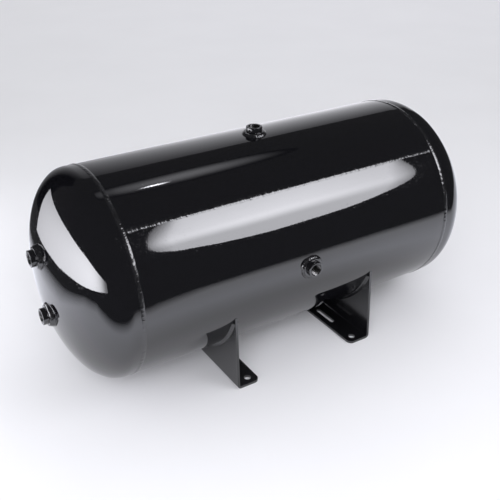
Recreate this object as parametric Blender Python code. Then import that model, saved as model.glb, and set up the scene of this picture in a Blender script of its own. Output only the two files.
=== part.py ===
"""Horizontal air receiver tank: a rolled shell with two joggled dished heads, turned and threaded ports
welded into it, and two bent-plate saddle brackets to stand on.

Units are metres and +Z is up. The tank's axis lies along X. The origin is on the floor, at the middle of
the whole object's footprint, ports included.
"""

import math

import bmesh
import bpy
from mathutils import Matrix, Vector

# Driving dimensions
TANK_RADIUS = 0.198
WALL = 0.003
SEAM_X = 0.339
HEAD_FLANGE = 0.0145
HEAD_DEPTH = 0.0893
AXIS_HEIGHT = 0.2204
RING_STEPS = 48
DISH_STEPS = 10
GAP = 0.0003

# Welded seams between the shell and the heads, and along the shell
SEAM_ANGLE = math.radians(45)
ROOT_GAP = 0.003
BEAD_WIDTH = 0.0086
BEAD_HEIGHT = 0.0016
JOGGLE_LENGTH = 0.0120
JOGGLE_SLOPE = 0.0060

# Threaded ports, for an M22 x 1.5 fitting
PORT_STEPS = 28
BORE_RADIUS = 0.0102
MOUTH_RADIUS = 0.0115
NOSE_RADIUS = 0.0155
COLLAR_RADIUS = 0.0200
COLLAR_HEIGHT = 0.0050
PORT_HEIGHT = 0.0140
SPIGOT_LENGTH = 0.0120
EDGE_CHAMFER = 0.0006
FILLET_RADIUS = 0.0248
FILLET_HEIGHT = 0.0038
FILLET_TOE = 0.0006
HEAD_PORT_RADIUS = 0.0550
HEAD_PORT_CLOCKING = math.radians(11)

# Saddle brackets, bent from plate with the foot turned towards the middle of the tank
PLATE = 0.005
BRACKET_X = 0.1594
FOOT_WIDTH = 0.0495
FOOT_HALF_LENGTH = 0.195
WEB_TIP_Y = 0.1877
WEB_TIP_DROP = 0.0630
BEND_RADIUS = 0.0080
CORNER_RADIUS = 0.0110
ARC_STEPS = 5
HOLE_RADIUS = 0.00675
HOLE_X = 0.1277
HOLE_Y = 0.1782
SLOT_HALF_WIDTH = 0.0050
SLOT_START = 0.0590
SLOT_END = 0.1170
SADDLE_WELD_LEG = 0.0050
SADDLE_WELD_END = math.radians(23)

# Worked out from the driving dimensions
SHELL_HALF_LENGTH = SEAM_X - ROOT_GAP / 2
HEAD_START = SEAM_X + ROOT_GAP / 2
DISH_START = SEAM_X + HEAD_FLANGE
STEP_ANGLE = 2 * math.pi / RING_STEPS
QUARTER = math.pi / 2


def dish_x(rho, depth=HEAD_DEPTH, radius=TANK_RADIUS):
    """How far from the tank's middle the elliptical dish is, at the distance rho from the axis."""
    return DISH_START + depth * math.sqrt(max(0.0, 1 - (rho / radius) ** 2))


# A port stands on the tank's surface with the underside of its collar just clear of it. On a head, the
# innermost edge of the collar is the one that meets the dish first.
SHELL_PORT_BASE = TANK_RADIUS + GAP
HEAD_PORT_BASE = dish_x(HEAD_PORT_RADIUS - COLLAR_RADIUS) + GAP

# The footprint reaches further on the sides that carry ports, so its middle is off the tank's own middle.
HEAD_TIP = DISH_START + HEAD_DEPTH
TANK_X = (HEAD_PORT_BASE + PORT_HEIGHT - HEAD_TIP) / 2
TANK_Y = (SHELL_PORT_BASE + PORT_HEIGHT - TANK_RADIUS - BEAD_HEIGHT) / 2


# ---------------------------------------------------------------- objects and materials


def clear_scene():
    for old in list(bpy.data.objects):
        bpy.data.objects.remove(old, do_unlink=True)


def paint(name, colour, roughness, metallic=0.0):
    material = bpy.data.materials.new(name)
    material.use_nodes = True
    shader = material.node_tree.nodes["Principled BSDF"]
    shader.inputs["Base Color"].default_value = (*colour, 1.0)
    shader.inputs["Roughness"].default_value = roughness
    shader.inputs["Metallic"].default_value = metallic
    material.diffuse_color = (*colour, 1.0)
    return material


def tank_paint(name):
    return paint(name + "_paint", (0.012, 0.012, 0.013), 0.08)


def weld_paint(name):
    return paint(name + "_paint", (0.020, 0.020, 0.021), 0.16)


def port_paint(name):
    return paint(name + "_paint", (0.016, 0.016, 0.017), 0.20)


def bracket_paint(name):
    return paint(name + "_paint", (0.014, 0.014, 0.015), 0.12)


def add_object(name, bm, parent, material=None):
    """Turns a bmesh into an object in its parent's frame, with its faces pointing out."""
    bmesh.ops.remove_doubles(bm, verts=bm.verts, dist=1e-7)
    bmesh.ops.recalc_face_normals(bm, faces=bm.faces)
    mesh = bpy.data.meshes.new(name)
    bm.to_mesh(mesh)
    bm.free()
    mesh.shade_smooth()
    mesh.set_sharp_from_angle(angle=math.radians(35))
    if material:
        mesh.materials.append(material)
    thing = bpy.data.objects.new(name, mesh)
    bpy.context.scene.collection.objects.link(thing)
    thing.parent = parent
    return thing


def add_cutter(name, bm, parent):
    cutter = add_object(name, bm, parent)
    cutter.hide_render = True
    cutter.display_type = "WIRE"
    return cutter


def cut(thing, cutter, operation="DIFFERENCE"):
    modifier = thing.modifiers.new(cutter.name, "BOOLEAN")
    modifier.object = cutter
    modifier.operation = operation
    modifier.solver = "EXACT"


def place(thing, location, rotation):
    thing.location = location
    thing.rotation_euler = rotation
    return thing


# ---------------------------------------------------------------- mesh tools


def turned(profile, steps):
    """A closed body turned about Z from (radius, height) points. A profile may end on the axis."""
    bm = bmesh.new()
    points = [bm.verts.new((radius, 0, height)) for radius, height in profile]
    edges = [bm.edges.new(pair) for pair in zip(points, points[1:])]
    if profile[0][0] > 0 or profile[-1][0] > 0:
        edges.append(bm.edges.new((points[-1], points[0])))
    bmesh.ops.spin(
        bm,
        geom=points + edges,
        cent=(0, 0, 0),
        axis=(0, 0, 1),
        angle=2 * math.pi,
        steps=steps,
        use_merge=True,
    )
    bmesh.ops.remove_doubles(bm, verts=bm.verts, dist=1e-6)
    return bm


def prism(outline, direction):
    """A closed body from an outline of 3-D points, extruded along a direction."""
    bm = bmesh.new()
    face = bm.faces.new([bm.verts.new(point) for point in outline])
    grown = bmesh.ops.extrude_face_region(bm, geom=[face])
    moved = [item for item in grown["geom"] if isinstance(item, bmesh.types.BMVert)]
    bmesh.ops.translate(bm, verts=moved, vec=direction)
    bmesh.ops.triangulate(bm, faces=[f for f in bm.faces if len(f.verts) > 4])
    return bm


def lofted(sections, closed):
    """A closed body through a row of sections that have the same number of points."""
    bm = bmesh.new()
    rows = [[bm.verts.new(point) for point in section] for section in sections]
    following = rows[1:] + rows[:1] if closed else rows[1:]
    for row, after in zip(rows, following):
        for i in range(len(row)):
            j = (i + 1) % len(row)
            bm.faces.new((row[i], row[j], after[j], after[i]))
    if not closed:
        bm.faces.new(rows[0])
        bm.faces.new(rows[-1])
    return bm


def arc(centre, radius, start, end, steps):
    """Points along an arc, as (across, along) pairs. Angles are in radians."""
    turns = [start + (end - start) * i / steps for i in range(steps + 1)]
    return [(centre[0] + radius * math.cos(t), centre[1] + radius * math.sin(t)) for t in turns]


def facet_radius(radius, angle):
    """The radius at an angle of the regular polygon that the round tank is made with."""
    off_middle = angle % STEP_ANGLE - STEP_ANGLE / 2
    return radius * math.cos(STEP_ANGLE / 2) / math.cos(off_middle)


# ---------------------------------------------------------------- the pressure vessel


def shell(parent):
    """The sheet rolled into a tube, with an open slit where its two edges are welded together."""
    inside = TANK_RADIUS - WALL
    profile = [
        (inside, -SHELL_HALF_LENGTH),
        (TANK_RADIUS, -SHELL_HALF_LENGTH),
        (TANK_RADIUS, SHELL_HALF_LENGTH),
        (inside, SHELL_HALF_LENGTH),
    ]
    body = add_object("shell", turned(profile, RING_STEPS), parent, tank_paint("shell"))
    place(body, (0, 0, 0), (0, QUARTER, 0))
    slit = [
        (-TANK_RADIUS, -ROOT_GAP / 2, inside - 0.01),
        (-TANK_RADIUS, ROOT_GAP / 2, inside - 0.01),
        (-TANK_RADIUS, ROOT_GAP / 2, TANK_RADIUS + 0.01),
        (-TANK_RADIUS, -ROOT_GAP / 2, TANK_RADIUS + 0.01),
    ]
    outline = [(x * 2, y, z) for x, y, z in slit]
    cutter = add_cutter("slit_cutter", prism(outline, (4 * TANK_RADIUS, 0, 0)), parent)
    place(cutter, (0, 0, 0), (SEAM_ANGLE, 0, 0))
    cut(body, cutter)
    return body


def head(name, side, parent):
    """A dished end. Its rim is joggled inwards, so that it slips inside the shell behind the weld."""
    lip_outside = TANK_RADIUS - WALL - GAP
    lip_inside = lip_outside - WALL
    inside = TANK_RADIUS - WALL
    depth = HEAD_DEPTH - WALL
    turns = [QUARTER * i / DISH_STEPS for i in range(DISH_STEPS + 1)]
    outer_dish = [(TANK_RADIUS * math.cos(t), DISH_START + HEAD_DEPTH * math.sin(t)) for t in turns]
    inner_dish = [(inside * math.cos(t), DISH_START + depth * math.sin(t)) for t in turns]
    outer_dish[-1] = (0, DISH_START + HEAD_DEPTH)
    inner_dish[-1] = (0, DISH_START + depth)
    rim = [
        (inside, HEAD_START + WALL + JOGGLE_SLOPE),
        (lip_inside, HEAD_START + WALL),
        (lip_inside, SEAM_X - JOGGLE_LENGTH),
        (lip_outside, SEAM_X - JOGGLE_LENGTH),
        (lip_outside, HEAD_START),
        (TANK_RADIUS, HEAD_START),
    ]
    profile = list(reversed(inner_dish)) + rim + outer_dish
    body = add_object(name, turned(profile, RING_STEPS), parent, tank_paint(name))
    return place(body, (0, 0, 0), (0, side * QUARTER, 0))


def bead_section(surface, root):
    """A weld's cross-section as (height, across) points: a rounded crown, and a root between two plates."""
    half = BEAD_WIDTH / 2
    inner = ROOT_GAP / 2 - GAP
    return [
        (surface + GAP, -half),
        (surface + BEAD_HEIGHT * 0.75, -half * 0.6),
        (surface + BEAD_HEIGHT, 0),
        (surface + BEAD_HEIGHT * 0.75, half * 0.6),
        (surface + GAP, half),
        (surface + GAP, inner),
        (root, inner),
        (root, -inner),
        (surface + GAP, -inner),
    ]


def seam_weld(name, side, parent):
    """The bead all round, where a head meets the shell."""
    section = bead_section(TANK_RADIUS, TANK_RADIUS - WALL + GAP)
    bead = add_object(name, turned(section, RING_STEPS), parent, weld_paint(name))
    return place(bead, (side * SEAM_X, 0, 0), (0, side * QUARTER, 0))


def longitudinal_weld(parent):
    """The bead that closes the rolled sheet, from one seam weld to the other."""
    name = "longitudinal_weld"
    end = SEAM_X - BEAD_WIDTH / 2 - GAP
    section = bead_section(TANK_RADIUS, TANK_RADIUS - WALL + GAP)
    outline = [(-end, across, height) for height, across in section]
    bead = add_object(name, prism(outline, (2 * end, 0, 0)), parent, weld_paint(name))
    return place(bead, (0, 0, 0), (SEAM_ANGLE, 0, 0))


# ---------------------------------------------------------------- ports


def port_profile():
    """(radius, height) points of a turned port, above and below the underside of its collar."""
    mouth_depth = MOUTH_RADIUS - BORE_RADIUS
    return [
        (BORE_RADIUS, -SPIGOT_LENGTH),
        (NOSE_RADIUS, -SPIGOT_LENGTH),
        (NOSE_RADIUS, 0),
        (COLLAR_RADIUS, 0),
        (COLLAR_RADIUS, COLLAR_HEIGHT - EDGE_CHAMFER),
        (COLLAR_RADIUS - EDGE_CHAMFER, COLLAR_HEIGHT),
        (NOSE_RADIUS, COLLAR_HEIGHT),
        (NOSE_RADIUS, PORT_HEIGHT - EDGE_CHAMFER),
        (NOSE_RADIUS - EDGE_CHAMFER, PORT_HEIGHT),
        (MOUTH_RADIUS, PORT_HEIGHT),
        (BORE_RADIUS, PORT_HEIGHT - mouth_depth),
    ]


def fillet_ring(surface):
    """The weld round a collar. It follows the tank's surface, whose height is a function of the place."""
    inner = COLLAR_RADIUS + GAP
    sections = []
    for step in range(PORT_STEPS):
        angle = 2 * math.pi * step / PORT_STEPS
        across = math.cos(angle)
        along = math.sin(angle)
        low_inside = surface(inner * across, inner * along) + GAP
        low_outside = surface(FILLET_RADIUS * across, FILLET_RADIUS * along) + GAP
        heights = [
            (inner, low_inside),
            (FILLET_RADIUS, low_outside),
            (FILLET_RADIUS, low_outside + FILLET_TOE),
            (inner, FILLET_HEIGHT),
        ]
        sections.append([(r * across, r * along, h) for r, h in heights])
    return lofted(sections, closed=True)


def shell_surface(across, along):
    """The shell's height over a port's collar plane. along runs round the tank."""
    return math.sqrt(TANK_RADIUS**2 - along**2) - SHELL_PORT_BASE


def head_port_centre(turn):
    """Where a head port's axis is, as (y, z), turned from the vertical about the tank's axis."""
    return HEAD_PORT_RADIUS * math.sin(turn), HEAD_PORT_RADIUS * math.cos(turn)


def port(name, location, rotation, surface, wall, parent):
    """A threaded port with its fillet weld, and its hole in the wall that it is welded into."""
    boss = add_object(name, turned(port_profile(), PORT_STEPS), parent, port_paint(name))
    place(boss, location, rotation)
    weld_name = name + "_weld"
    weld = add_object(weld_name, fillet_ring(surface), parent, weld_paint(weld_name))
    place(weld, location, rotation)
    reach = 2 * SPIGOT_LENGTH
    hole = [(0, -reach), (NOSE_RADIUS + GAP, -reach), (NOSE_RADIUS + GAP, reach), (0, reach)]
    cutter = add_cutter(name + "_hole_cutter", turned(hole, PORT_STEPS), parent)
    place(cutter, location, rotation)
    cut(wall, cutter)


def shell_ports(wall, parent):
    """A port on top, one on the front and a drain at the lowest point, all at mid-length."""
    base = SHELL_PORT_BASE
    port("top_port", (0, 0, base), (0, 0, 0), shell_surface, wall, parent)
    port("front_port", (0, -base, 0), (QUARTER, 0, 0), shell_surface, wall, parent)
    port("drain_port", (0, 0, -base), (2 * QUARTER, 0, 0), shell_surface, wall, parent)


def head_ports(wall, parent):
    """Two ports opposite each other about the axis of the left head, parallel to the tank's axis."""
    for name, turn in (
        ("head_upper_port", HEAD_PORT_CLOCKING),
        ("head_lower_port", HEAD_PORT_CLOCKING + math.pi),
    ):
        y, z = head_port_centre(turn)

        def head_surface(up, side, y=y, z=z):
            return dish_x(math.hypot(y + side, z + up)) - HEAD_PORT_BASE

        port(name, (-HEAD_PORT_BASE, y, z), (0, -QUARTER, 0), head_surface, wall, parent)


# ---------------------------------------------------------------- brackets


def angle_section(side):
    """The bracket's L-shaped cross-section as (x, z) points, with a bend between web and foot."""
    top = -WEB_TIP_DROP
    floor = -AXIS_HEIGHT
    bend = (BRACKET_X - BEND_RADIUS, floor + BEND_RADIUS)
    inner_radius = BEND_RADIUS - PLATE
    outside = arc(bend, BEND_RADIUS, -QUARTER, 0, ARC_STEPS)
    inside = arc(bend, inner_radius, 0, -QUARTER, ARC_STEPS)
    points = [(BRACKET_X - FOOT_WIDTH, floor)] + outside + [(BRACKET_X, top)]
    points += [(BRACKET_X - PLATE, top)] + inside + [(BRACKET_X - FOOT_WIDTH, floor + PLATE)]
    return [(side * x, z) for x, z in points]


def foot_outline(side):
    """The foot's outline from above as (x, y) points, with its two free corners rounded."""
    tip = BRACKET_X - FOOT_WIDTH
    far = FOOT_HALF_LENGTH
    centre = tip + CORNER_RADIUS
    corner_y = far - CORNER_RADIUS
    points = [(BRACKET_X + PLATE, -far), (BRACKET_X + PLATE, far)]
    points += arc((centre, corner_y), CORNER_RADIUS, QUARTER, 2 * QUARTER, ARC_STEPS)
    points += arc((centre, -corner_y), CORNER_RADIUS, 2 * QUARTER, 3 * QUARTER, ARC_STEPS)
    return [(side * x, y) for x, y in points]


def web_outline():
    """The web's outline from the end as (y, z) points: its two sides lean in a little towards the tank."""
    floor = -AXIS_HEIGHT - PLATE
    slope = (FOOT_HALF_LENGTH - WEB_TIP_Y) / (AXIS_HEIGHT - WEB_TIP_DROP)
    wide = FOOT_HALF_LENGTH + slope * PLATE
    return [(-wide, floor), (wide, floor), (WEB_TIP_Y, -WEB_TIP_DROP), (-WEB_TIP_Y, -WEB_TIP_DROP)]


def foot_holes(side):
    """Cutters for two bolt holes and two slots, as separate bodies in one mesh."""
    low = -AXIS_HEIGHT - PLATE
    depth = 3 * PLATE
    x = side * HOLE_X
    joined = bmesh.new()
    for end in (-1, 1):
        hole = arc((x, end * HOLE_Y), HOLE_RADIUS, 0, 4 * QUARTER, 24)[:-1]
        near = end * (SLOT_START + SLOT_HALF_WIDTH)
        far = end * (SLOT_END - SLOT_HALF_WIDTH)
        low_end, high_end = sorted((near, far))
        slot = arc((x, high_end), SLOT_HALF_WIDTH, 0, 2 * QUARTER, 8)
        slot += arc((x, low_end), SLOT_HALF_WIDTH, 2 * QUARTER, 4 * QUARTER, 8)
        for outline in (hole, slot):
            part = prism([(px, py, low) for px, py in outline], (0, 0, depth))
            bmesh.ops.recalc_face_normals(part, faces=part.faces)
            loose = bpy.data.meshes.new("foot_hole")
            part.to_mesh(loose)
            part.free()
            joined.from_mesh(loose)
            bpy.data.meshes.remove(loose)
    return joined


def bracket(name, side, parent):
    """A bent plate that stands on its foot and holds the tank in a saddle cut into its web."""
    section = [(x, -FOOT_HALF_LENGTH, z) for x, z in angle_section(side)]
    body = add_object(name, prism(section, (0, 2 * FOOT_HALF_LENGTH, 0)), parent, bracket_paint(name))
    plan = [(x, y, -AXIS_HEIGHT - PLATE) for x, y in foot_outline(side)]
    front = [(side * (BRACKET_X - 2 * FOOT_WIDTH), y, z) for y, z in web_outline()]
    saddle = [(0, -0.1), (TANK_RADIUS + GAP, -0.1), (TANK_RADIUS + GAP, 0.1), (0, 0.1)]
    plan_cutter = add_cutter(name + "_plan", prism(plan, (0, 0, AXIS_HEIGHT)), parent)
    front_cutter = add_cutter(name + "_front", prism(front, (side * 4 * FOOT_WIDTH, 0, 0)), parent)
    saddle_cutter = add_cutter(name + "_saddle", turned(saddle, RING_STEPS), parent)
    place(saddle_cutter, (side * BRACKET_X, 0, 0), (0, QUARTER, 0))
    hole_cutter = add_cutter(name + "_holes", foot_holes(side), parent)
    cut(body, plan_cutter, "INTERSECT")
    cut(body, front_cutter, "INTERSECT")
    cut(body, saddle_cutter)
    cut(body, hole_cutter)


def saddle_weld(name, face_x, outward, parent):
    """The fillet weld along one face of a web, under the tank. outward is the way the face looks, along X."""
    start = math.pi + SADDLE_WELD_END
    end = 2 * math.pi - SADDLE_WELD_END
    first = math.ceil(start / STEP_ANGLE)
    last = math.floor(end / STEP_ANGLE)
    angles = [start] + [STEP_ANGLE * i for i in range(first, last + 1)] + [end]
    near_x = face_x + outward * GAP
    far_x = near_x + outward * SADDLE_WELD_LEG
    low = TANK_RADIUS + GAP
    section = [(near_x, low), (far_x, low), (far_x, low + FILLET_TOE), (near_x, low + SADDLE_WELD_LEG)]
    sections = []
    for angle in angles:
        scale = facet_radius(1.0, angle)
        ring = [(x, r * scale * math.cos(angle), r * scale * math.sin(angle)) for x, r in section]
        sections.append(ring)
    add_object(name, lofted(sections, closed=False), parent, weld_paint(name))


def stand(label, side, parent):
    """One bracket and the two welds that join it to the shell."""
    bracket(label + "_bracket", side, parent)
    saddle_weld(label + "_bracket_outer_weld", side * BRACKET_X, side, parent)
    saddle_weld(label + "_bracket_inner_weld", side * (BRACKET_X - PLATE), -side, parent)


def build():
    clear_scene()
    axis = bpy.data.objects.new("tank_axis", None)
    axis.location = (TANK_X, TANK_Y, AXIS_HEIGHT)
    bpy.context.scene.collection.objects.link(axis)
    tube = shell(axis)
    left = head("left_head", -1, axis)
    head("right_head", 1, axis)
    seam_weld("left_seam_weld", -1, axis)
    seam_weld("right_seam_weld", 1, axis)
    longitudinal_weld(axis)
    shell_ports(tube, axis)
    head_ports(left, axis)
    stand("left", -1, axis)
    stand("right", 1, axis)


build()
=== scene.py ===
"""The looks of the air receiver tank: smooth plates, rippled weld beads, threaded ports and gloss black
paint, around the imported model, on a pale floor in a small photographic studio.
"""

import math

import bmesh
import bpy
from mathutils import Matrix, Vector, noise

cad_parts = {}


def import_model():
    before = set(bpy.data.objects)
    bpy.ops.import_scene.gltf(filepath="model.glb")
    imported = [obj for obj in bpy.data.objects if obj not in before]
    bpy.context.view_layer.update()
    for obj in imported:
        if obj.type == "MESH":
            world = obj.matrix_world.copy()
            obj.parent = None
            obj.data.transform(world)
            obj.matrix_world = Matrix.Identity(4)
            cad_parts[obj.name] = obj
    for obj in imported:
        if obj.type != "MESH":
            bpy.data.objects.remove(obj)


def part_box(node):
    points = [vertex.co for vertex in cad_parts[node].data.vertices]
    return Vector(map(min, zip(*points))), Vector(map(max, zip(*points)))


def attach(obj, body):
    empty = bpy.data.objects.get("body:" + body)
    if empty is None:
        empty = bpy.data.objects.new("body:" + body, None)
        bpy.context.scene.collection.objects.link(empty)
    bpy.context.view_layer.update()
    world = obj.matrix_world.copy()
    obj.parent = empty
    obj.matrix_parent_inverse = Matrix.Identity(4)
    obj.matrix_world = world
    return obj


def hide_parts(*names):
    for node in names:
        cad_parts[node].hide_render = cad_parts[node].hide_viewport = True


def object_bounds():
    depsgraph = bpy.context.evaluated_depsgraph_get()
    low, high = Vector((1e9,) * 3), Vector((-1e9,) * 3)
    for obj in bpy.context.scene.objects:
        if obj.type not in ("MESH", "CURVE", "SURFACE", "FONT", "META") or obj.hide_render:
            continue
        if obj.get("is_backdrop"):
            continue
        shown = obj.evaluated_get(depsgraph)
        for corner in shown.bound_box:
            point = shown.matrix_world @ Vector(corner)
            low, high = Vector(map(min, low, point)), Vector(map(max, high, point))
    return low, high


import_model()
cad_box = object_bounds()

# Sizes and places taken from the frame
SHELL_LOW, SHELL_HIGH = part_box("shell")
CENTRE = (SHELL_LOW + SHELL_HIGH) / 2
RADIUS = (SHELL_HIGH.z - SHELL_LOW.z) / 2
SHELL_HALF = (SHELL_HIGH.x - SHELL_LOW.x) / 2
HEAD_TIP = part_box("right_head")[1].x - CENTRE.x
SEAM_LOW, SEAM_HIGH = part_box("right_seam_weld")
SEAM_X = (SEAM_LOW.x + SEAM_HIGH.x) / 2 - CENTRE.x
BEAD_WIDTH = SEAM_HIGH.x - SEAM_LOW.x
BRACKET_LOW, BRACKET_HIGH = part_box("right_bracket")
BRACKET_X = BRACKET_HIGH.x - CENTRE.x
FOOT_WIDTH = BRACKET_HIGH.x - BRACKET_LOW.x
FOOT_HALF_LENGTH = (BRACKET_HIGH.y - BRACKET_LOW.y) / 2
FLOOR_DROP = CENTRE.z - BRACKET_LOW.z
WEB_TIP_DROP = CENTRE.z - BRACKET_HIGH.z

# Plates
WALL = 0.003
HEAD_FLANGE = 0.0145
DISH_START = SEAM_X + HEAD_FLANGE
HEAD_DEPTH = HEAD_TIP - DISH_START
JOGGLE_LENGTH = 0.012
JOGGLE_SLOPE = 0.006
ROOT_GAP = 0.003
GAP = 0.0003
AROUND = 320
SHELL_ROWS = 136
DISH_ROWS = 56
SMOOTH_ANGLE = 35
WELDED_CLOSE = 1e-7
SEAM_ANGLE = math.radians(45)

# Rolling leaves the sheet's two edges straight, so they meet in a low ridge under the long weld.
FLAT_ANGLE = math.radians(8.5)
RIDGE_FADE = 0.11
SHRINK = 0.00025
SHRINK_REACH = 0.012

# Faint waves left in the sheet, each as (how long, how high), how far under the true surface the sheet
# lies so that they stay inside it, and how soon they fade out towards a welded edge
SHELL_LONG_WAVE = (0.085, 0.00016)
SHELL_SHORT_WAVE = (0.032, 0.00002)
SHELL_SUNK = 0.00005
SHELL_CALM = 0.05
WAVE_STRETCH = 0.8
HEAD_LONG_WAVE = (0.06, 0.00030)
HEAD_SHORT_WAVE = (0.025, 0.00003)
HEAD_SUNK = 0.00022
HEAD_CALM = 0.03

# Ports
PORT_HEIGHT = 0.014
SPIGOT_LENGTH = 0.012
COLLAR_HEIGHT = 0.005
COLLAR_RADIUS = 0.020
NOSE_RADIUS = 0.0155
MOUTH_RADIUS = 0.0115
BORE_RADIUS = 0.0102
THREAD_PITCH = 0.0015
THREAD_DEPTH = 0.0008
FILLET_RADIUS = 0.0238
FILLET_HEIGHT = 0.0041
EDGE_CHAMFER = 0.0006
HOLE_REACH = NOSE_RADIUS + GAP
THREAD_STEP = 0.00025
PORT_AROUND = 72

# Brackets
PLATE = 0.005
BEND_RADIUS = 0.008
CORNER_RADIUS = 0.011
WEB_TIP_Y = 0.1877
HOLE_RADIUS = 0.00675
HOLE_X = 0.1277
HOLE_Y = 0.1782
SLOT_HALF_WIDTH = 0.005
SLOT_START = 0.059
SLOT_END = 0.117
SADDLE_WELD_LEG = 0.0052
SADDLE_WELD_END = math.radians(22)
CUT_EDGE = 0.0005
BEND_STEPS = 12
HOLE_STEPS = 48
SLOT_STEPS = 20
SADDLE_STEPS = 360
BEVEL_ANGLE = math.radians(40)

# Weld beads
CROWN = 0.0006
FILLET_CROWN = 0.0006
TOE_DEPTH = 0.0002
ROOT_DEPTH = 0.0030
RIPPLE_PITCH = 0.0040
RIPPLE = 0.00007
BEAD_LUMP = 0.0005
LEAN = 0.6
BEAD_STEP = 0.0006
BEAD_STEPS = 10
BEAD_WANDER = 0.16
BEAD_TAPER = 0.008
BEAD_END = 0.45
BEAD_SHARP_ANGLE = 60
RIPPLE_DRIFT = 0.35
RIPPLE_BEND = 0.5

# How far along a bead each kind of unevenness lasts. Each follows its own track of noise.
WANDER_LENGTH = 0.015
LUMP_LENGTH = 0.006
DRIFT_LENGTH = 0.02
LEAN_LENGTH = 0.007

# Where the welder stopped and started again on each seam: (how far up from the front, how tall, how long)
LEFT_RESTART = (math.radians(66) * RADIUS, 0.0007, 0.005)
RIGHT_RESTART = (math.radians(64) * RADIUS, 0.0008, 0.003)

# The studio, in tank radii from the middle of the tank
NEAR_FLOOR = (
    (5.5, -3.9),
    (0.5, -4.6),
    (-1.6, -3.1),
    (-3.7, -1.6),
    (-5.1, -0.8),
    (-5.0, 0.3),
    (-3.9, 1.3),
    (-3.2, 2.8),
    (-1.8, 3.6),
    (-1, 8),
    (14, 8),
    (14, -4),
)
FAR_FLOOR = 120
# The near paper's painted glow, which only the gloss sees, its border, and the oval of painted shadow that
# holds the glow off round the tank's middle
PAPER_GLOW = 0.45
PAPER_GLOW_START = (-4.4, -2.2)
PAPER_GLOW_COLOUR = (0.86, 0.90, 1.08)
PAPER_FADE = 0.14
SHADOW_HALF = (2.4, 1.6)
SHADOW_EDGE = 1.55
BACKDROP_MIDDLE = (4, 8, 3.4)
BACKDROP_HALF = (10, 4.6)
BACKDROP_START = (-3, 5)
BACKDROP_FADE = (0.5, 7.5)
BACKDROP_GLOW = 1.3
BACKDROP_TOP = 0.35
SOFTBOX = (3.32, -5.35, 4.3)
SOFTBOX_AIM = Vector((-3.1, 5, -4.8))
SOFTBOX_HALF = (2.55, 2.25)
SOFTBOX_CORNERS = 0.3
SOFTBOX_TILT = math.radians(-21)
SOFTBOX_GLOW = 5.2
SOFTBOX_CORE = ((-0.4, 0.1), (5.0, 1.1), 9.2)
SOFTBOX_ENDS = (2.65, 5)
END_FADE = 0.78
END_DIM = 0.2
SOFTBOX_FILL = 3.0
PANEL = (-9.27, -1.4, 0.04)
PANEL_FACING = (0.75, -0.66, 0)
PANEL_HALF = (8.4, 1.16)
PANEL_GLOW = 1.5
PANEL_CORE = ((-1.2, 0), (8.5, 6), 9.5)
PANEL_FILL = 4.5
STRIP = (2.4, 2.1, 8)
STRIP_HALF = (2.8, 1.3)
STRIP_GLOW = 1.1
LAMP = (1.75, 1.53, 8)
LAMP_HALF = (0.4, 0.16)
LAMP_GLOW = 32
PAPER_LIGHTS = (
    ("back_light", (16, 16, 13), (0, 0, -1), (16, 13), 1.05),
    ("front_light", (-6, -9, 6), (6, 9, -7), (4, 3), 6.0),
)
LIGHT_COLOUR = (0.97, 0.97, 1.03)
ROOM_COLOUR = (0.965, 0.97, 0.985)
ROOM_LIGHT = 0.72
ROOM_GLOSS = 0.05
CAMERA_PLACE = (-3.7248, -5.8139, 3.5201)
CAMERA_TURN = (math.radians(61.124), 0, math.radians(-32.315))
LENS = 54.18
SENSOR = 36
CLIP_START = 0.01

# Paints. The port, bracket and weld paints are duller than the tank's.
TANK_BLACK = (0.004, 0.004, 0.005)
PART_BLACK = (0.005, 0.005, 0.006)
DUST = (0.03, 0.03, 0.03)
WELD_COLOURS = ((0.006, 0.006, 0.007), (0.020, 0.020, 0.021))
STEEL_COLOURS = ((0.10, 0.10, 0.105), (0.22, 0.215, 0.21))
PAPER_COLOURS = ((0.79, 0.79, 0.80), (0.83, 0.83, 0.84))
TANK_PEEL = 0.000012
PART_PEEL = 0.00003
SPECK_HEIGHT = 0.00002
SPATTER_HEIGHT = 0.00035
GRAIN_HEIGHT = 0.00003

QUARTER = math.pi / 2
TURN = 2 * math.pi


# ---------------------------------------------------------------- small tools


def smooth_step(value):
    value = min(1.0, max(0.0, value))
    return value * value * (3 - 2 * value)


def mix(a, b, share):
    return a + (b - a) * share


def finish_piece(name, mesh, materials, node):
    """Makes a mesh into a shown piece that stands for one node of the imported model."""
    for material in materials:
        mesh.materials.append(material)
    piece = bpy.data.objects.new(name, mesh)
    bpy.context.scene.collection.objects.link(piece)
    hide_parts(node)
    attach(piece, "root")
    return piece


def smooth_mesh(name, bm, sharp=SMOOTH_ANGLE):
    """Turns a bmesh into a smoothly shaded mesh. Edges that turn by more than sharp degrees stay crisp."""
    bmesh.ops.recalc_face_normals(bm, faces=bm.faces)
    mesh = bpy.data.meshes.new(name)
    bm.to_mesh(mesh)
    bm.free()
    mesh.shade_smooth()
    mesh.set_sharp_from_angle(angle=math.radians(sharp))
    return mesh


def skin(rows, wrap_rows, caps=False):
    """A bmesh over a grid of points. Each row is a closed loop."""
    bm = bmesh.new()
    made = [[bm.verts.new(point) for point in row] for row in rows]
    following = made[1:] + made[:1] if wrap_rows else made[1:]
    for row, after in zip(made, following):
        for j in range(len(row)):
            k = (j + 1) % len(row)
            bm.faces.new((row[j], row[k], after[k], after[j]))
    if caps:
        bm.faces.new(made[0])
        bm.faces.new(made[-1])
    return bm


# ---------------------------------------------------------------- materials


def new_material(name):
    material = bpy.data.materials.new(name)
    material.use_nodes = True
    tree = material.node_tree
    return material, tree, tree.nodes["Principled BSDF"]


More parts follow.
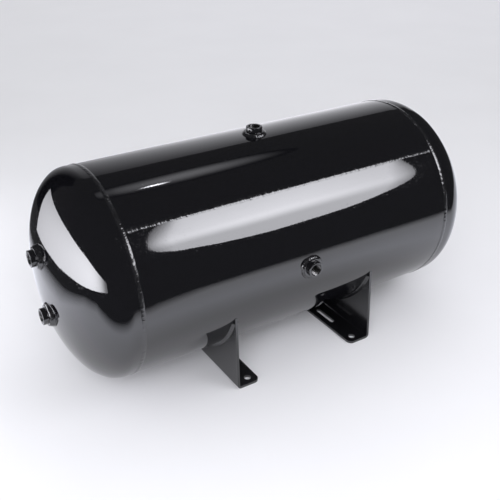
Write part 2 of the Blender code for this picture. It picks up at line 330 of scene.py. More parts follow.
def object_noise(tree, scale, detail=2.0, rough=0.5):
    """Noise in the object's own metres. The scale is in features per metre."""
    place = tree.nodes.new("ShaderNodeTexCoord")
    cloud = tree.nodes.new("ShaderNodeTexNoise")
    cloud.inputs["Scale"].default_value = scale
    cloud.inputs["Detail"].default_value = detail
    cloud.inputs["Roughness"].default_value = rough
    tree.links.new(place.outputs["Object"], cloud.inputs["Vector"])
    return cloud.outputs["Fac"]


def remapped(tree, value, low, high, to_low, to_high):
    node = tree.nodes.new("ShaderNodeMapRange")
    node.inputs["From Min"].default_value = low
    node.inputs["From Max"].default_value = high
    node.inputs["To Min"].default_value = to_low
    node.inputs["To Max"].default_value = to_high
    tree.links.new(value, node.inputs["Value"])
    return node.outputs["Result"]


def multiplied(tree, first, second):
    node = tree.nodes.new("ShaderNodeMath")
    node.operation = "MULTIPLY"
    tree.links.new(first, node.inputs[0])
    tree.links.new(second, node.inputs[1])
    return node.outputs[0]


def off_centre(tree, place, centre, halves):
    """How far a place is from a centre, level, where 1 is the edge of an oval with these half-sizes."""
    shift = tree.nodes.new("ShaderNodeVectorMath")
    shift.operation = "SUBTRACT"
    shift.inputs[1].default_value = centre
    squeeze = tree.nodes.new("ShaderNodeVectorMath")
    squeeze.operation = "MULTIPLY"
    squeeze.inputs[1].default_value = (1 / halves[0], 1 / halves[1], 0)
    length = tree.nodes.new("ShaderNodeVectorMath")
    length.operation = "LENGTH"
    tree.links.new(place, shift.inputs[0])
    tree.links.new(shift.outputs["Vector"], squeeze.inputs[0])
    tree.links.new(squeeze.outputs["Vector"], length.inputs[0])
    return length.outputs["Value"]


def colour_mix(tree, share, first, second):
    node = tree.nodes.new("ShaderNodeMix")
    node.data_type = "RGBA"
    node.inputs["A"].default_value = (*first, 1)
    node.inputs["B"].default_value = (*second, 1)
    tree.links.new(share, node.inputs["Factor"])
    return node.outputs["Result"]


def bumped(tree, shader, layers):
    """Stacks bumps. Each layer is (height output, how high it stands in metres)."""
    normal = None
    for height, distance in layers:
        bump = tree.nodes.new("ShaderNodeBump")
        bump.inputs["Distance"].default_value = distance
        tree.links.new(height, bump.inputs["Height"])
        if normal:
            tree.links.new(normal, bump.inputs["Normal"])
        normal = bump.outputs["Normal"]
    tree.links.new(normal, shader.inputs["Normal"])


def gloss_paint(name, colour, smooth, dull, peel):
    """Gloss black paint with a little orange peel and faint dust. smooth and dull are its least and most
    roughness, and peel is how high the orange peel stands in metres."""
    material, tree, shader = new_material(name)
    clouds = object_noise(tree, 7, 4)
    haze = object_noise(tree, 60, 5, 0.6)
    specks = remapped(tree, object_noise(tree, 420, 1), 0.70, 0.78, 0, 1)
    dust = multiplied(tree, specks, remapped(tree, haze, 0.45, 0.75, 0, 1))
    tree.links.new(colour_mix(tree, dust, colour, DUST), shader.inputs["Base Color"])
    tree.links.new(remapped(tree, clouds, 0.3, 0.7, smooth, dull), shader.inputs["Roughness"])
    bumped(tree, shader, [(object_noise(tree, 260, 2), peel), (specks, SPECK_HEIGHT)])
    shader.inputs["Specular IOR Level"].default_value = 1.0
    shader.inputs["IOR"].default_value = 1.5
    return material


def weld_paint(name, smooth, dull):
    """Paint over a weld bead: gloss broken up by spatter and slag pits."""
    material, tree, shader = new_material(name)
    grain = object_noise(tree, 900, 3, 0.6)
    spots = object_noise(tree, 260, 4, 0.65)
    shade = remapped(tree, spots, 0.45, 0.75, 0, 1)
    tree.links.new(colour_mix(tree, shade, *WELD_COLOURS), shader.inputs["Base Color"])
    tree.links.new(remapped(tree, grain, 0.3, 0.7, smooth, dull), shader.inputs["Roughness"])
    bumped(tree, shader, [(spots, SPATTER_HEIGHT), (grain, GRAIN_HEIGHT)])
    shader.inputs["Specular IOR Level"].default_value = 1.0
    return material


def thread_steel():
    """The bare, oiled steel of the tapped threads."""
    material, tree, shader = new_material("thread_steel")
    stain = object_noise(tree, 300, 4)
    tree.links.new(colour_mix(tree, stain, *STEEL_COLOURS), shader.inputs["Base Color"])
    tree.links.new(remapped(tree, stain, 0.3, 0.7, 0.22, 0.42), shader.inputs["Roughness"])
    bumped(tree, shader, [(object_noise(tree, 1500, 2), GRAIN_HEIGHT)])
    shader.inputs["Metallic"].default_value = 1.0
    return material


# ---------------------------------------------------------------- plates


def cut_cells(grid, centres, apart):
    """The cells of a grid that the ports' holes take away. apart() gives a point's offset from an axis."""
    cells = set()
    count = len(grid[0])
    for i, row in enumerate(grid):
        for j, point in enumerate(row):
            if any(apart(point, centre).length < HOLE_REACH for centre in centres):
                cells |= {(i + di, (j + dj) % count) for di in (-1, 0) for dj in (-1, 0)}
    return cells


def round_off(grid, cells, centres, apart, reseat):
    """Moves the points at the edge of the cut cells onto a circle round the nearest port."""
    count = len(grid[0])
    for i, row in enumerate(grid):
        for j, point in enumerate(row):
            around = [(i + di, (j + dj) % count) in cells for di in (-1, 0) for dj in (-1, 0)]
            if any(around) and not all(around):
                centre = min(centres, key=lambda place: apart(point, place).length)
                offset = apart(point, centre)
                row[j] = reseat(point, point + offset * (HOLE_REACH / offset.length - 1))


def plate(outer, inner, cells, closed_start=False):
    """A plate between two matching grids of points, walled at its ends and round the cut cells."""
    bm = bmesh.new()
    top, under = [[[bm.verts.new(point) for point in row] for row in grid] for grid in (outer, inner)]
    last = len(top) - 1
    count = len(top[0])
    walls = [((last, j), (last, (j + 1) % count)) for j in range(count)]
    if not closed_start:
        walls += [((0, j), (0, (j + 1) % count)) for j in range(count)]
    for i in range(last):
        for j in range(count):
            k = (j + 1) % count
            corners = ((i, j), (i, k), (i + 1, k), (i + 1, j))
            if (i, j) not in cells:
                for side in (top, under):
                    bm.faces.new([side[a][b] for a, b in corners])
                continue
            beyond = ((i - 1, j), (i, k), (i + 1, j), (i, (j - 1) % count))
            edges = zip(corners, corners[1:] + corners[:1])
            walls += [edge for edge, cell in zip(edges, beyond) if cell not in cells]
    for (ai, aj), (bi, bj) in walls:
        bm.faces.new((top[ai][aj], top[bi][bj], under[bi][bj], under[ai][aj]))
    bmesh.ops.delete(bm, geom=[v for v in bm.verts if not v.link_faces], context="VERTS")
    bmesh.ops.remove_doubles(bm, verts=bm.verts, dist=WELDED_CLOSE)
    return bm


def ridge(x, angle):
    """How far the shell stands out near the long weld, where the rolled sheet's edges stayed straight."""
    off = abs(angle - SEAM_ANGLE)
    if off >= FLAT_ANGLE:
        return 0.0
    fade = smooth_step((SHELL_HALF - abs(x)) / RIDGE_FADE)
    return RADIUS * (1 / math.cos(FLAT_ANGLE - off) - 1) * fade


def pinch(x):
    """How far the shell draws in beside the welds at its ends."""
    return SHRINK * math.exp(-(((SHELL_HALF - abs(x)) / SHRINK_REACH) ** 2))


def wave(point, kind):
    size, height = kind
    return height * noise.noise(Vector(point) / size)


def round_point(x, radius, angle):
    """A point of the tank from its centre, at an angle up from the front, round its axis."""
    return Vector((x, -radius * math.cos(angle), radius * math.sin(angle)))


def shell_radius(x, angle):
    on_tank = round_point(x, RADIUS, angle)
    calm = smooth_step((SHELL_HALF - abs(x)) / SHELL_CALM)
    waves = wave(on_tank * WAVE_STRETCH, SHELL_LONG_WAVE) + wave(on_tank, SHELL_SHORT_WAVE)
    return RADIUS + ridge(x, angle) - pinch(x) - SHELL_SUNK + waves * calm


def turns():
    return [TURN * j / AROUND for j in range(AROUND)]


def shell_skin(paint):
    grids = []
    port_ways = [round_point(0, 1, t) for t in (0, QUARTER, -QUARTER)]

    def apart(point, way):
        offset = point - CENTRE
        if offset.dot(way) < 0:
            return Vector((1, 1, 1))
        return offset - way * offset.dot(way)

    def reseat(old, new):
        radius = math.hypot(old.y - CENTRE.y, old.z - CENTRE.z)
        offset = new - CENTRE
        return CENTRE + Vector((offset.x, *(offset.yz.normalized() * radius)))

    for sunk in (0, WALL):
        rows = []
        for i in range(SHELL_ROWS + 1):
            x = mix(-SHELL_HALF, SHELL_HALF, i / SHELL_ROWS)
            rows.append([CENTRE + round_point(x, shell_radius(x, t) - sunk, t) for t in turns()])
        grids.append(rows)
    cells = cut_cells(grids[0], port_ways, apart)
    for rows in grids:
        round_off(rows, cells, port_ways, apart, reseat)
    mesh = smooth_mesh("shell_skin", plate(*grids, cells))
    finish_piece("shell_skin", mesh, [paint], "shell")


def dish_x(rho):
    """How far the outside of a head is from the middle of the tank, at a distance from its axis."""
    return DISH_START + HEAD_DEPTH * math.sqrt(max(0.0, 1 - (rho / RADIUS) ** 2))


def head_profile():
    """Matching (radius, distance) points down the outside and inside of a dished head, from its middle."""
    inside = RADIUS - WALL
    lip = inside - GAP
    start = SEAM_X + ROOT_GAP / 2
    pairs = []
    for i in range(DISH_ROWS + 1):
        t = QUARTER * (1 - i / DISH_ROWS)
        outer = (RADIUS * math.cos(t), DISH_START + HEAD_DEPTH * math.sin(t))
        pairs.append((outer, (inside * math.cos(t), DISH_START + (HEAD_DEPTH - WALL) * math.sin(t))))
    pairs += [
        ((RADIUS, start + HEAD_FLANGE / 2), (inside, start + JOGGLE_SLOPE + 2 * WALL)),
        ((RADIUS, start), (inside, start + JOGGLE_SLOPE + WALL)),
        ((lip, start), (lip - WALL, start + WALL)),
        ((lip, SEAM_X - JOGGLE_LENGTH), (lip - WALL, SEAM_X - JOGGLE_LENGTH)),
    ]
    return pairs


def head_skin(name, side, port_names, paint):
    """A pressed head. Its dish has the faint waves of a pressed sheet."""
    outer = []
    inner = []
    for (r_out, x_out), (r_in, x_in) in head_profile():
        calm = smooth_step((x_out - DISH_START) / HEAD_CALM)
        outer_row = []
        for t in turns():
            base = round_point(side * x_out, r_out, t)
            rise = (wave(base, HEAD_LONG_WAVE) + wave(base, HEAD_SHORT_WAVE) - HEAD_SUNK) * calm
            outer_row.append(CENTRE + round_point(side * (x_out + rise), r_out + rise * r_out / RADIUS, t))
        outer.append(outer_row)
        inner.append([CENTRE + round_point(side * x_in, r_in, t) for t in turns()])
    for grid in (outer, inner):
        grid[0] = [grid[0][0]] * AROUND
    boxes = [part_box(node) for node in port_names]
    centres = [(low + high) / 2 for low, high in boxes]

    def apart(point, centre):
        return Vector((0, point.y - centre.y, point.z - centre.z))

    cells = cut_cells(outer[:DISH_ROWS], centres, apart)
    for grid, depth, radius in ((outer, HEAD_DEPTH, RADIUS), (inner, HEAD_DEPTH - WALL, RADIUS - WALL)):

        def reseat(_, new, depth=depth, radius=radius):
            rho = (new - CENTRE).yz.length
            reach = DISH_START + depth * math.sqrt(1 - (rho / radius) ** 2)
            return Vector((CENTRE.x + side * reach, new.y, new.z))

        round_off(grid, cells, centres, apart, reseat)
    mesh = smooth_mesh(name + "_skin", plate(outer, inner, cells, closed_start=True))
    finish_piece(name + "_skin", mesh, [paint], name)


# ---------------------------------------------------------------- welds


def bead(name, spots, closed, crown, paint, lumps=()):
    """A rippled weld bead. Each spot is (first toe, second toe, root, distance), a step further along.
    A lump is (where, how tall, how long) for a place where the welder stopped and started again."""
    rows = []
    length = spots[-1][3]

    def uneven(distance, reach, track):
        return noise.noise((distance / reach, track, crown))

    for first, second, root, distance in spots:
        middle = (first + second) / 2
        out = (middle - root).normalized()
        wander = 1 + BEAD_WANDER * noise.noise((distance / WANDER_LENGTH, crown, 0))
        end = 1.0 if closed else smooth_step(BEAD_END + min(distance, length - distance) / BEAD_TAPER)
        lift = (crown + BEAD_LUMP * uneven(distance, LUMP_LENGTH, 5)) * end
        for where, tall, long in lumps:
            lift += tall * math.exp(-(((distance - where) / long) ** 2))
        drift = RIPPLE_DRIFT * uneven(distance, DRIFT_LENGTH, 9)
        lean = 1 + LEAN * uneven(distance, LEAN_LENGTH, 3)
        row = []
        for k in range(BEAD_STEPS + 1):
            share = k / BEAD_STEPS
            leant = share**lean
            bow = 4 * leant * (1 - leant)
            phase = TURN * (distance / RIPPLE_PITCH + drift + RIPPLE_BEND * bow)
            height = lift * bow + RIPPLE * math.sin(phase) * math.sqrt(bow) * end
            row.append(middle + (second - first) * (share - 0.5) * wander * end + out * height)
        rows.append(row + [root])
    mesh = smooth_mesh(name + "_bead", skin(rows, closed, caps=not closed), BEAD_SHARP_ANGLE)
    finish_piece(name + "_bead", mesh, [paint], name)


def steps_along(length):
    """Distances along a weld, a step apart."""
    count = math.ceil(length / BEAD_STEP)
    return [length * i / count for i in range(count + 1)]


def seam_bead(name, side, paint, restart):
    """The bead all round, where a head meets the shell. Distances start at the front and run up."""
    spots = []
    half = BEAD_WIDTH / 2
    for distance in steps_along(TURN * RADIUS)[:-1]:
        angle = distance / RADIUS
        toes = [CENTRE + round_point(side * SEAM_X + a, RADIUS - TOE_DEPTH, angle) for a in (-half, half)]
        root = CENTRE + round_point(side * SEAM_X, RADIUS - ROOT_DEPTH, angle)
        spots.append((*toes, root, distance))
    bead(name, spots, True, CROWN + TOE_DEPTH, paint, [restart])


def long_bead(name, paint):
    """The bead along the shell. Its toes follow the two slopes of the ridge."""
    spots = []
    half = BEAD_WIDTH / 2 / RADIUS
    end = SEAM_X - BEAD_WIDTH / 2
    for distance in steps_along(2 * end):
        x = distance - end
        toes = []
        for angle in (SEAM_ANGLE + half, SEAM_ANGLE - half):
            toes.append(CENTRE + round_point(x, RADIUS + ridge(x, angle) - pinch(x) - TOE_DEPTH, angle))
        top = RADIUS + ridge(x, SEAM_ANGLE)
        root = CENTRE + round_point(x, top - ROOT_DEPTH, SEAM_ANGLE)
        spots.append((*toes, root, distance))
    bead(name, spots, False, CROWN + TOE_DEPTH, paint)


def ring_bead(name, spot, paint):
    """The fillet round a port's collar. Its outer toe follows the tank's surface."""
    origin, across, along, out, surface = spot
    spots = []
    for distance in steps_along(TURN * FILLET_RADIUS)[:-1]:
        turn = distance / FILLET_RADIUS
        way = across * math.cos(turn) + along * math.sin(turn)

        def on_surface(radius, turn=turn):
            return surface(radius * math.cos(turn), radius * math.sin(turn))

        wall = COLLAR_RADIUS - GAP
        upper = origin + way * wall + out * FILLET_HEIGHT
        lower = origin + way * FILLET_RADIUS + out * (on_surface(FILLET_RADIUS) - TOE_DEPTH)
        root = origin + way * wall + out * (on_surface(wall) - TOE_DEPTH)
        spots.append((upper, lower, root, distance))
    bead(name, spots, True, FILLET_CROWN, paint)


def saddle_bead(name, face_x, outward, paint):
    """The fillet along one face of a web, under the tank. outward is the way the face looks, along X."""
    spots = []
    sweep = math.pi - 2 * SADDLE_WELD_END
    for distance in steps_along(sweep * RADIUS):
        angle = -SADDLE_WELD_END - distance / RADIUS
        inset = face_x - outward * GAP
        upper = CENTRE + round_point(inset + outward * SADDLE_WELD_LEG, RADIUS - GAP, angle)
        lower = CENTRE + round_point(inset, RADIUS + SADDLE_WELD_LEG, angle)
        root = CENTRE + round_point(inset, RADIUS - GAP, angle)
        spots.append((upper, lower, root, distance))
    bead(name, spots, False, FILLET_CROWN, paint)


# ---------------------------------------------------------------- ports


def port_spots():
    """Each port's name, with its base's centre, its three directions and the tank's surface round it."""
    x, y, z = Vector((1, 0, 0)), Vector((0, 1, 0)), Vector((0, 0, 1))
    spots = {}
    for name, across, along, out in (
        ("top_port", x, y, z),
        ("front_port", x, z, -y),
        ("drain_port", x, y, -z),
        ("head_upper_port", z, y, -x),
        ("head_lower_port", z, y, -x),
    ):
        low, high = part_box(name)
        middle = (low + high) / 2
        tip = max(out.dot(low), out.dot(high))
        origin = middle + out * (tip - PORT_HEIGHT - out.dot(middle))
        base = out.dot(origin - CENTRE)
        if out.x:
            offset = origin - CENTRE

            def surface(a, b, offset=offset, base=base):
                return dish_x(math.hypot(offset.z + a, offset.y + b)) - base

        else:

            def surface(_, b, base=base):
                return math.sqrt(RADIUS**2 - b**2) - base

        spots[name] = (origin, across, along, out, surface)
    return spots


def port_rows():
    """(radius, height, threaded) rows of a turned port, up its outside and back down its bore."""
    fine = EDGE_CHAMFER / 3
    rows = [(BORE_RADIUS, -SPIGOT_LENGTH), (NOSE_RADIUS, -SPIGOT_LENGTH)]
    rows += [(NOSE_RADIUS, 0), (COLLAR_RADIUS, 0)]
    for radius, height in ((COLLAR_RADIUS, COLLAR_HEIGHT), (NOSE_RADIUS, PORT_HEIGHT)):
        rows += [
            (radius, height - EDGE_CHAMFER),
            (radius - fine, height - fine),
            (radius - EDGE_CHAMFER, height),
        ]
        if radius == COLLAR_RADIUS:
            rows += [(NOSE_RADIUS + fine, height), (NOSE_RADIUS, height + fine)]
    rows += [(MOUTH_RADIUS + fine / 2, PORT_HEIGHT), (MOUTH_RADIUS, PORT_HEIGHT - fine / 2)]
    rows = [(radius, height, False) for radius, height in rows]
    top = PORT_HEIGHT - (MOUTH_RADIUS - BORE_RADIUS)
    count = round((top + SPIGOT_LENGTH) / THREAD_STEP)
    rows += [(BORE_RADIUS, mix(top, -SPIGOT_LENGTH, i / count), True) for i in range(count)]
    return rows


def port(name, spot, paint, steel):
    """A turned boss with a helical thread in its bore."""
    origin, across, along, out, _ = spot
    grid = []
    for radius, height, threaded in port_rows():
        row = []
        for j in range(PORT_AROUND):
            turn = TURN * j / PORT_AROUND
            depth = 0.0
            if threaded:
                groove = (height / THREAD_PITCH + turn / TURN) % 1
                fade = min(1.0, (height + SPIGOT_LENGTH) / THREAD_PITCH)
                depth = THREAD_DEPTH * (1 - abs(2 * groove - 1)) * fade
            reach = radius + depth
            way = across * math.cos(turn) + along * math.sin(turn)
            row.append(origin + way * reach + out * height)
        grid.append(row)
    mesh = smooth_mesh(name + "_turned", skin(grid, True))
    bore = [threaded for _, _, threaded in port_rows()]
    for polygon in mesh.polygons:
        polygon.material_index = int(bore[polygon.index // PORT_AROUND])
    finish_piece(name + "_turned", mesh, [paint, steel], name)


# ---------------------------------------------------------------- brackets


def arc(centre, radius, start, end, steps):
    """Points along an arc, as pairs. Angles are in radians."""
    angles = [mix(start, end, i / steps) for i in range(steps + 1)]
    return [(centre[0] + radius * math.cos(t), centre[1] + radius * math.sin(t)) for t in angles]


def prism(outline, direction):
    """A closed body from an outline of 3-D points, drawn out along a direction."""
    bm = bmesh.new()
    face = bm.faces.new([bm.verts.new(point) for point in outline])
    grown = bmesh.ops.extrude_face_region(bm, geom=[face])
    moved = [item for item in grown["geom"] if isinstance(item, bmesh.types.BMVert)]
    bmesh.ops.translate(bm, verts=moved, vec=direction)
    bmesh.ops.recalc_face_normals(bm, faces=bm.faces)
    mesh = bpy.data.meshes.new("prism")
    bm.to_mesh(mesh)
    bm.free()
    return mesh


def carved(name, body, tools):
    """The mesh that is left of a body after each tool, which is (mesh, what the tool does)."""
    thing = bpy.data.objects.new(name, body)
    bpy.context.scene.collection.objects.link(thing)
    helpers = []
    for mesh, operation in tools:
        helper = bpy.data.objects.new(name + "_tool", mesh)
        bpy.context.scene.collection.objects.link(helper)
        helpers.append(helper)
        step = thing.modifiers.new("cut", "BOOLEAN")
        step.object = helper
        step.operation = operation
        step.solver = "EXACT"
    graph = bpy.context.evaluated_depsgraph_get()
    result = bpy.data.meshes.new_from_object(thing.evaluated_get(graph))
    for helper in [*helpers, thing]:
        bpy.data.objects.remove(helper)
    return result


def bracket_section(side):
    """The bracket's L-shaped cross-section as (x, z) points from the tank's centre."""
    bend = (BRACKET_X - BEND_RADIUS, -FLOOR_DROP + BEND_RADIUS)
    points = [(BRACKET_X - FOOT_WIDTH, -FLOOR_DROP)]
    points += arc(bend, BEND_RADIUS, -QUARTER, 0, BEND_STEPS)
    points += [(BRACKET_X, -WEB_TIP_DROP), (BRACKET_X - PLATE, -WEB_TIP_DROP)]
    points += arc(bend, BEND_RADIUS - PLATE, 0, -QUARTER, BEND_STEPS)
    points += [(BRACKET_X - FOOT_WIDTH, -FLOOR_DROP + PLATE)]
    return [(side * x, z) for x, z in points]


def foot_plan(side):
    tip = BRACKET_X - FOOT_WIDTH + CORNER_RADIUS
    reach = FOOT_HALF_LENGTH - CORNER_RADIUS
    points = [(BRACKET_X + PLATE, -FOOT_HALF_LENGTH), (BRACKET_X + PLATE, FOOT_HALF_LENGTH)]
    points += arc((tip, reach), CORNER_RADIUS, QUARTER, 2 * QUARTER, BEND_STEPS)
    points += arc((tip, -reach), CORNER_RADIUS, 2 * QUARTER, 3 * QUARTER, BEND_STEPS)
    return [(side * x, y) for x, y in points]


def web_plan():
    """The web from the end as (y, z) points: its two sides lean in a little towards the tank."""
    slope = (FOOT_HALF_LENGTH - WEB_TIP_Y) / (FLOOR_DROP - WEB_TIP_DROP)
    low = FOOT_HALF_LENGTH + slope * PLATE
    high = WEB_TIP_Y - slope * PLATE
    top = -WEB_TIP_DROP + PLATE
    return [(-low, -FLOOR_DROP - PLATE), (low, -FLOOR_DROP - PLATE), (high, top), (-high, top)]


def foot_holes(side):
    """Outlines of two bolt holes and two slots, as (x, y) points."""
    x = side * HOLE_X
    outlines = []
    for end in (-1, 1):
        outlines.append(arc((x, end * HOLE_Y), HOLE_RADIUS, 0, TURN, HOLE_STEPS)[:-1])
        near, far = sorted((end * (SLOT_START + SLOT_HALF_WIDTH), end * (SLOT_END - SLOT_HALF_WIDTH)))
        slot = arc((x, far), SLOT_HALF_WIDTH, 0, 2 * QUARTER, SLOT_STEPS)
        outlines.append(slot + arc((x, near), SLOT_HALF_WIDTH, 2 * QUARTER, 4 * QUARTER, SLOT_STEPS))
    return outlines


def bracket(name, side, paint):
    """A bent plate that stands on its foot and holds the tank in a saddle cut into its web."""

    def seen(x, y, z):
        return CENTRE + Vector((x, y, z))

    deep = FLOOR_DROP + PLATE
    section = [seen(x, -FOOT_HALF_LENGTH, z) for x, z in bracket_section(side)]
    body = prism(section, (0, 2 * FOOT_HALF_LENGTH, 0))
    plan = prism([seen(x, y, -deep) for x, y in foot_plan(side)], (0, 0, deep))
    start = side * (BRACKET_X - 2 * FOOT_WIDTH)
    across = (side * 4 * FOOT_WIDTH, 0, 0)
    front = prism([seen(start, y, z) for y, z in web_plan()], across)
    circle = arc((0, 0), RADIUS + GAP, 0, TURN, SADDLE_STEPS)[:-1]
    saddle = prism([seen(start, y, z) for y, z in circle], across)
    tools = [(plan, "INTERSECT"), (front, "INTERSECT"), (saddle, "DIFFERENCE")]
    for outline in foot_holes(side):
        tools.append((prism([seen(x, y, -deep) for x, y in outline], (0, 0, 3 * PLATE)), "DIFFERENCE"))
    mesh = carved(name, body, tools)
    mesh.shade_smooth()
    mesh.set_sharp_from_angle(angle=math.radians(SMOOTH_ANGLE))
    piece = finish_piece(name + "_plate", mesh, [paint], name)
    edges = piece.modifiers.new("cut_edges", "BEVEL")
    edges.width = CUT_EDGE
    edges.segments = 2
    edges.limit_method = "ANGLE"
    edges.angle_limit = BEVEL_ANGLE
    edges.harden_normals = True
    return piece


# ---------------------------------------------------------------- studio


def at(x, y, z):
    """A place in the studio, measured in tank radii from the middle of the tank."""
    return CENTRE + Vector((x, y, z)) * RADIUS


def stage_face(name, corners, material, camera=True, diffuse=True, glossy=True, place=None):
    bm = bmesh.new()
    if corners:
        bm.faces.new([bm.verts.new(corner) for corner in corners])
    mesh = bpy.data.meshes.new(name)
    bm.to_mesh(mesh)
    bm.free()
    mesh.materials.append(material)
    thing = bpy.data.objects.new(name, mesh)
    bpy.context.scene.collection.objects.link(thing)
    if place:
        thing.matrix_world = place
    thing.visible_camera = camera
    thing.visible_diffuse = diffuse
    thing.visible_glossy = glossy
    thing.visible_shadow = camera
    thing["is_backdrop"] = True
    return thing


def paper(name, lit):
    """White paper. On the near paper the gloss sees a painted glow, so the part in front of the tank glows
    more. The glow fades out towards the front, and a painted shadow holds it off in an oval round the
    tank's middle. Over the border of that paper the gloss sees it fade out."""
    material, tree, shader = new_material(name)
    cloud = object_noise(tree, 3, 3)
    tree.links.new(colour_mix(tree, cloud, *PAPER_COLOURS), shader.inputs["Base Color"])
    shader.inputs["Roughness"].default_value = 0.9
    shader.inputs["Specular IOR Level"].default_value = 0.0
    if lit:
        # Painted glow that only glossy rays see. It grows from PAPER_GLOW_START towards the tank, and a
        # painted shadow cuts it out in an oval round the tank's middle.
        rays = tree.nodes.new("ShaderNodeLightPath")
        place = tree.nodes.new("ShaderNodeNewGeometry")
        split = tree.nodes.new("ShaderNodeSeparateXYZ")
        tree.links.new(place.outputs["Position"], split.inputs[0])
        start, full = (at(0, y, 0).y for y in PAPER_GLOW_START)
        edge = remapped(tree, split.outputs["Y"], start, full, 0, PAPER_GLOW)
        shadow = [half * RADIUS for half in SHADOW_HALF]
        away = off_centre(tree, place.outputs["Position"], CENTRE, shadow)
        clear = remapped(tree, away, 1, SHADOW_EDGE, 0, 1)
        painted_glow_part = multiplied(tree, edge, clear)
        shine = multiplied(tree, painted_glow_part, rays.outputs["Is Glossy Ray"])
        shader.inputs["Emission Color"].default_value = (*PAPER_GLOW_COLOUR, 1)
        tree.links.new(shine, shader.inputs["Emission Strength"])
        border = tree.nodes.new("ShaderNodeAttribute")
        border.attribute_name = "border"
        hidden = multiplied(tree, border.outputs["Fac"], rays.outputs["Is Glossy Ray"])
        tree.links.new(remapped(tree, hidden, 0, 1, 1, 0), shader.inputs["Alpha"])
    return material


def glow(name, strength, spot=None, ends=None):
    """A light's surface. A spot is (place, half-sizes, peak): a brighter patch in the sheet's own plane.
    ends are the half-sizes of the oval outside which the sheet is dim."""
    material = bpy.data.materials.new(name)
    material.use_nodes = True
    tree = material.node_tree
    tree.nodes.clear()
    light = tree.nodes.new("ShaderNodeEmission")
    light.inputs["Color"].default_value = (*LIGHT_COLOUR, 1)
    light.inputs["Strength"].default_value = strength
    out = tree.nodes.new("ShaderNodeOutputMaterial")
    tree.links.new(light.outputs[0], out.inputs["Surface"])
    if spot:
        (x, y), (wide, high), peak = spot
        seen = tree.nodes.new("ShaderNodeTexCoord")
        away = off_centre(tree, seen.outputs["Object"], (x, y, 0), (wide, high))
        fall = remapped(tree, away, 0, 1, peak, strength)
        fall.node.interpolation_type = "SMOOTHSTEP"
        if ends:
            outward = off_centre(tree, seen.outputs["Object"], (0, 0, 0), ends)
            fade = remapped(tree, outward, END_FADE, 1, 1, END_DIM)
            fall = multiplied(tree, fall, fade)
        tree.links.new(fall, light.inputs["Strength"])
    return material


def facing(middle, out):
    """Where a flat sheet stands: its middle, its own X level, and its face towards out.
    One unit on the sheet is one tank radius."""
    out = out.normalized()
    level = Vector((0, 0, 1)) if abs(out.z) < 0.99 else Vector((0, 1, 0))
    across = out.cross(level).normalized()
    turn = Matrix((across, across.cross(out), out)).transposed().to_4x4()
    return Matrix.Translation(at(*middle)) @ turn @ Matrix.Scale(RADIUS, 4)


def light_sheet(name, corners, place, material, fill):
    """A sheet of light that the gloss sees, and a plainer one in its place that lights the paper."""
    corners = [(x, y, 0) for x, y in corners]
    stage_face(name, corners, material, camera=False, diffuse=False, place=place)
    if fill:
        filler = glow(name + "_fill", fill)
        stage_face(name + "_fill", corners, filler, camera=False, glossy=False, place=place)


def floor():
    """Pale paper. The gloss sees only the part near the tank, which fades out over a border."""
    bm = bmesh.new()
    border = bm.verts.layers.float.new("border")
    rings = []
    for edge in (0, 1):
        size = 1 + PAPER_FADE * (2 * edge - 1)
        ring = []
        for x, y in NEAR_FLOOR:
            corner = at(x * size, y * size, 0)
            vert = bm.verts.new((corner.x, corner.y, 0))
            vert[border] = edge
            ring.append(vert)
        rings.append(ring)
    inner, outer = rings
    bm.faces.new(inner)
    for i in range(len(inner)):
        bm.faces.new((outer[i - 1], outer[i], inner[i], inner[i - 1]))
    near = stage_face("near_floor", [], paper("near_paper", True))
    bm.to_mesh(near.data)
    bm.free()
    far = FAR_FLOOR * RADIUS
    corners = [(-far, -far, -GAP), (far, -far, -GAP), (far, far, -GAP), (-far, far, -GAP)]
    stage_face("far_floor", corners, paper("far_paper", False), glossy=False)


def backdrop():
    """The lit paper that rises behind the tank. Only the gloss sees it: it is out of the camera's view."""
    material = glow("backdrop_glow", 1.0)
    tree = material.node_tree
    place = tree.nodes.new("ShaderNodeNewGeometry")
    split = tree.nodes.new("ShaderNodeSeparateXYZ")
    tree.links.new(place.outputs["Position"], split.inputs[0])
    middle = at(*BACKDROP_MIDDLE)
    start, full = (at(x, 0, 0).x for x in BACKDROP_START)
    across = remapped(tree, split.outputs["X"], start, full, 0, 1)
    low, high = (at(0, 0, z).z for z in BACKDROP_FADE)
    rise = remapped(tree, split.outputs["Z"], low, high, BACKDROP_GLOW, BACKDROP_TOP)
    tree.links.new(multiplied(tree, across, rise), tree.nodes["Emission"].inputs["Strength"])
    corners = [middle + Vector((x, 0, z)) * RADIUS for x, z in oblong(*BACKDROP_HALF)]
    stage_face("backdrop", corners, material, camera=False, diffuse=False)


def oval(wide, high, upper=1.0):
    """An oval outline. Its upper half grows squarer as upper drops below 1."""
    points = []
    for t in turns()[::4]:
        power = upper if math.sin(t) > 0 else 1.0
        x = math.copysign(abs(math.cos(t)) ** power, math.cos(t))
        y = math.copysign(abs(math.sin(t)) ** power, math.sin(t))
        points.append((wide * x, high * y))
    return points


def oblong(wide, high):
    return [(-wide, -high), (wide, -high), (wide, high), (-wide, high)]


def softbox():
    """The big soft light in front, high up and to the right, with a brighter middle."""
    place = facing(SOFTBOX, SOFTBOX_AIM) @ Matrix.Rotation(SOFTBOX_TILT, 4, "Z")
    material = glow("softbox_glow", SOFTBOX_GLOW, SOFTBOX_CORE, SOFTBOX_ENDS)
    light_sheet("softbox", oval(*SOFTBOX_HALF, SOFTBOX_CORNERS), place, material, SOFTBOX_FILL)


def side_panel():
    """A long low white panel on the floor, to the left."""
    place = facing(PANEL, Vector(PANEL_FACING))
    material = glow("side_panel_glow", PANEL_GLOW, PANEL_CORE)
    light_sheet("side_panel", oblong(*PANEL_HALF), place, material, PANEL_FILL)


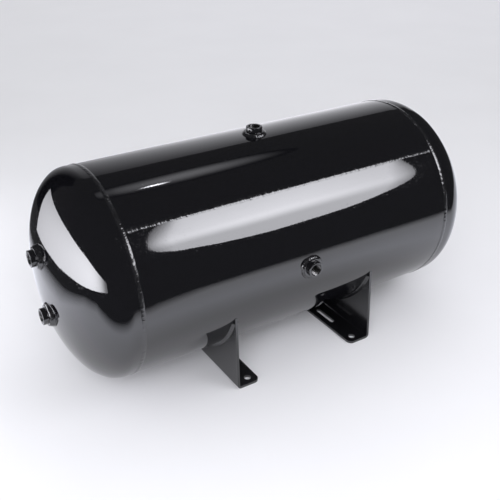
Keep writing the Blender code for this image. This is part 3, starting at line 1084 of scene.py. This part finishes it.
def overhead_strip():
    """A dim strip of light overhead with a small bright lamp in it."""
    place = facing(STRIP, Vector((0, 0, -1)))
    material = glow("strip_glow", 0.0, ((0, 0), STRIP_HALF, STRIP_GLOW))
    light_sheet("overhead_strip", oval(*STRIP_HALF), place, material, 0)
    place = facing(LAMP, Vector((0, 0, -1)))
    material = glow("lamp_glow", 0.0, ((0, 0), LAMP_HALF, LAMP_GLOW))
    light_sheet("overhead_lamp", oval(*LAMP_HALF), place, material, 0)


def paper_lights():
    """Two soft lights that only the paper shows: one over the background, one from the front left."""
    for name, middle, out, halves, strength in PAPER_LIGHTS:
        corners = [(x, y, 0) for x, y in oblong(*halves)]
        place = facing(middle, Vector(out))
        stage_face(name, corners, glow(name, strength), camera=False, glossy=False, place=place)


def world():
    """Soft light all round. Gloss sees a dark room instead, apart from the lit sheets and panels."""
    sky = bpy.data.worlds.new("studio")
    bpy.context.scene.world = sky
    sky.use_nodes = True
    tree = sky.node_tree
    tree.nodes.clear()
    rays = tree.nodes.new("ShaderNodeLightPath")
    soft = tree.nodes.new("ShaderNodeBackground")
    soft.inputs["Color"].default_value = (*ROOM_COLOUR, 1)
    soft.inputs["Strength"].default_value = ROOM_LIGHT
    dark = tree.nodes.new("ShaderNodeBackground")
    dark.inputs["Color"].default_value = (*ROOM_COLOUR, 1)
    dark.inputs["Strength"].default_value = ROOM_GLOSS
    pick = tree.nodes.new("ShaderNodeMixShader")
    out = tree.nodes.new("ShaderNodeOutputWorld")
    tree.links.new(rays.outputs["Is Glossy Ray"], pick.inputs["Fac"])
    tree.links.new(soft.outputs[0], pick.inputs[1])
    tree.links.new(dark.outputs[0], pick.inputs[2])
    tree.links.new(pick.outputs[0], out.inputs["Surface"])


def camera():
    lens = bpy.data.cameras.new("camera")
    lens.lens = LENS
    lens.sensor_width = SENSOR
    lens.clip_start = CLIP_START
    view = bpy.data.objects.new("camera", lens)
    bpy.context.scene.collection.objects.link(view)
    view.location = at(*CAMERA_PLACE)
    view.rotation_euler = CAMERA_TURN
    bpy.context.scene.camera = view


# ---------------------------------------------------------------- the whole tank


def build():
    tank = gloss_paint("tank_gloss", TANK_BLACK, 0.02, 0.045, TANK_PEEL)
    port_gloss = gloss_paint("port_gloss", PART_BLACK, 0.08, 0.15, PART_PEEL)
    bracket_gloss = gloss_paint("bracket_gloss", PART_BLACK, 0.10, 0.18, PART_PEEL)
    weld = weld_paint("weld_gloss", 0.03, 0.09)
    fillet = weld_paint("fillet_gloss", 0.06, 0.16)
    steel = thread_steel()
    shell_skin(tank)
    head_skin("left_head", -1, ["head_upper_port", "head_lower_port"], tank)
    head_skin("right_head", 1, [], tank)
    seam_bead("left_seam_weld", -1, weld, LEFT_RESTART)
    seam_bead("right_seam_weld", 1, weld, RIGHT_RESTART)
    long_bead("longitudinal_weld", weld)
    for name, spot in port_spots().items():
        port(name, spot, port_gloss, steel)
        ring_bead(name + "_weld", spot, fillet)
    for label, side in (("left", -1), ("right", 1)):
        bracket(label + "_bracket", side, bracket_gloss)
        saddle_bead(label + "_bracket_outer_weld", side * BRACKET_X, side, fillet)
        saddle_bead(label + "_bracket_inner_weld", side * (BRACKET_X - PLATE), -side, fillet)


build()
floor()
backdrop()
softbox()
side_panel()
overhead_strip()
paper_lights()
world()
camera()
bpy.context.scene.view_settings.view_transform = "Standard"

boxes = {"cad": cad_box, "visual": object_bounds()}
{name: [list(corner) for corner in box] for name, box in boxes.items()}
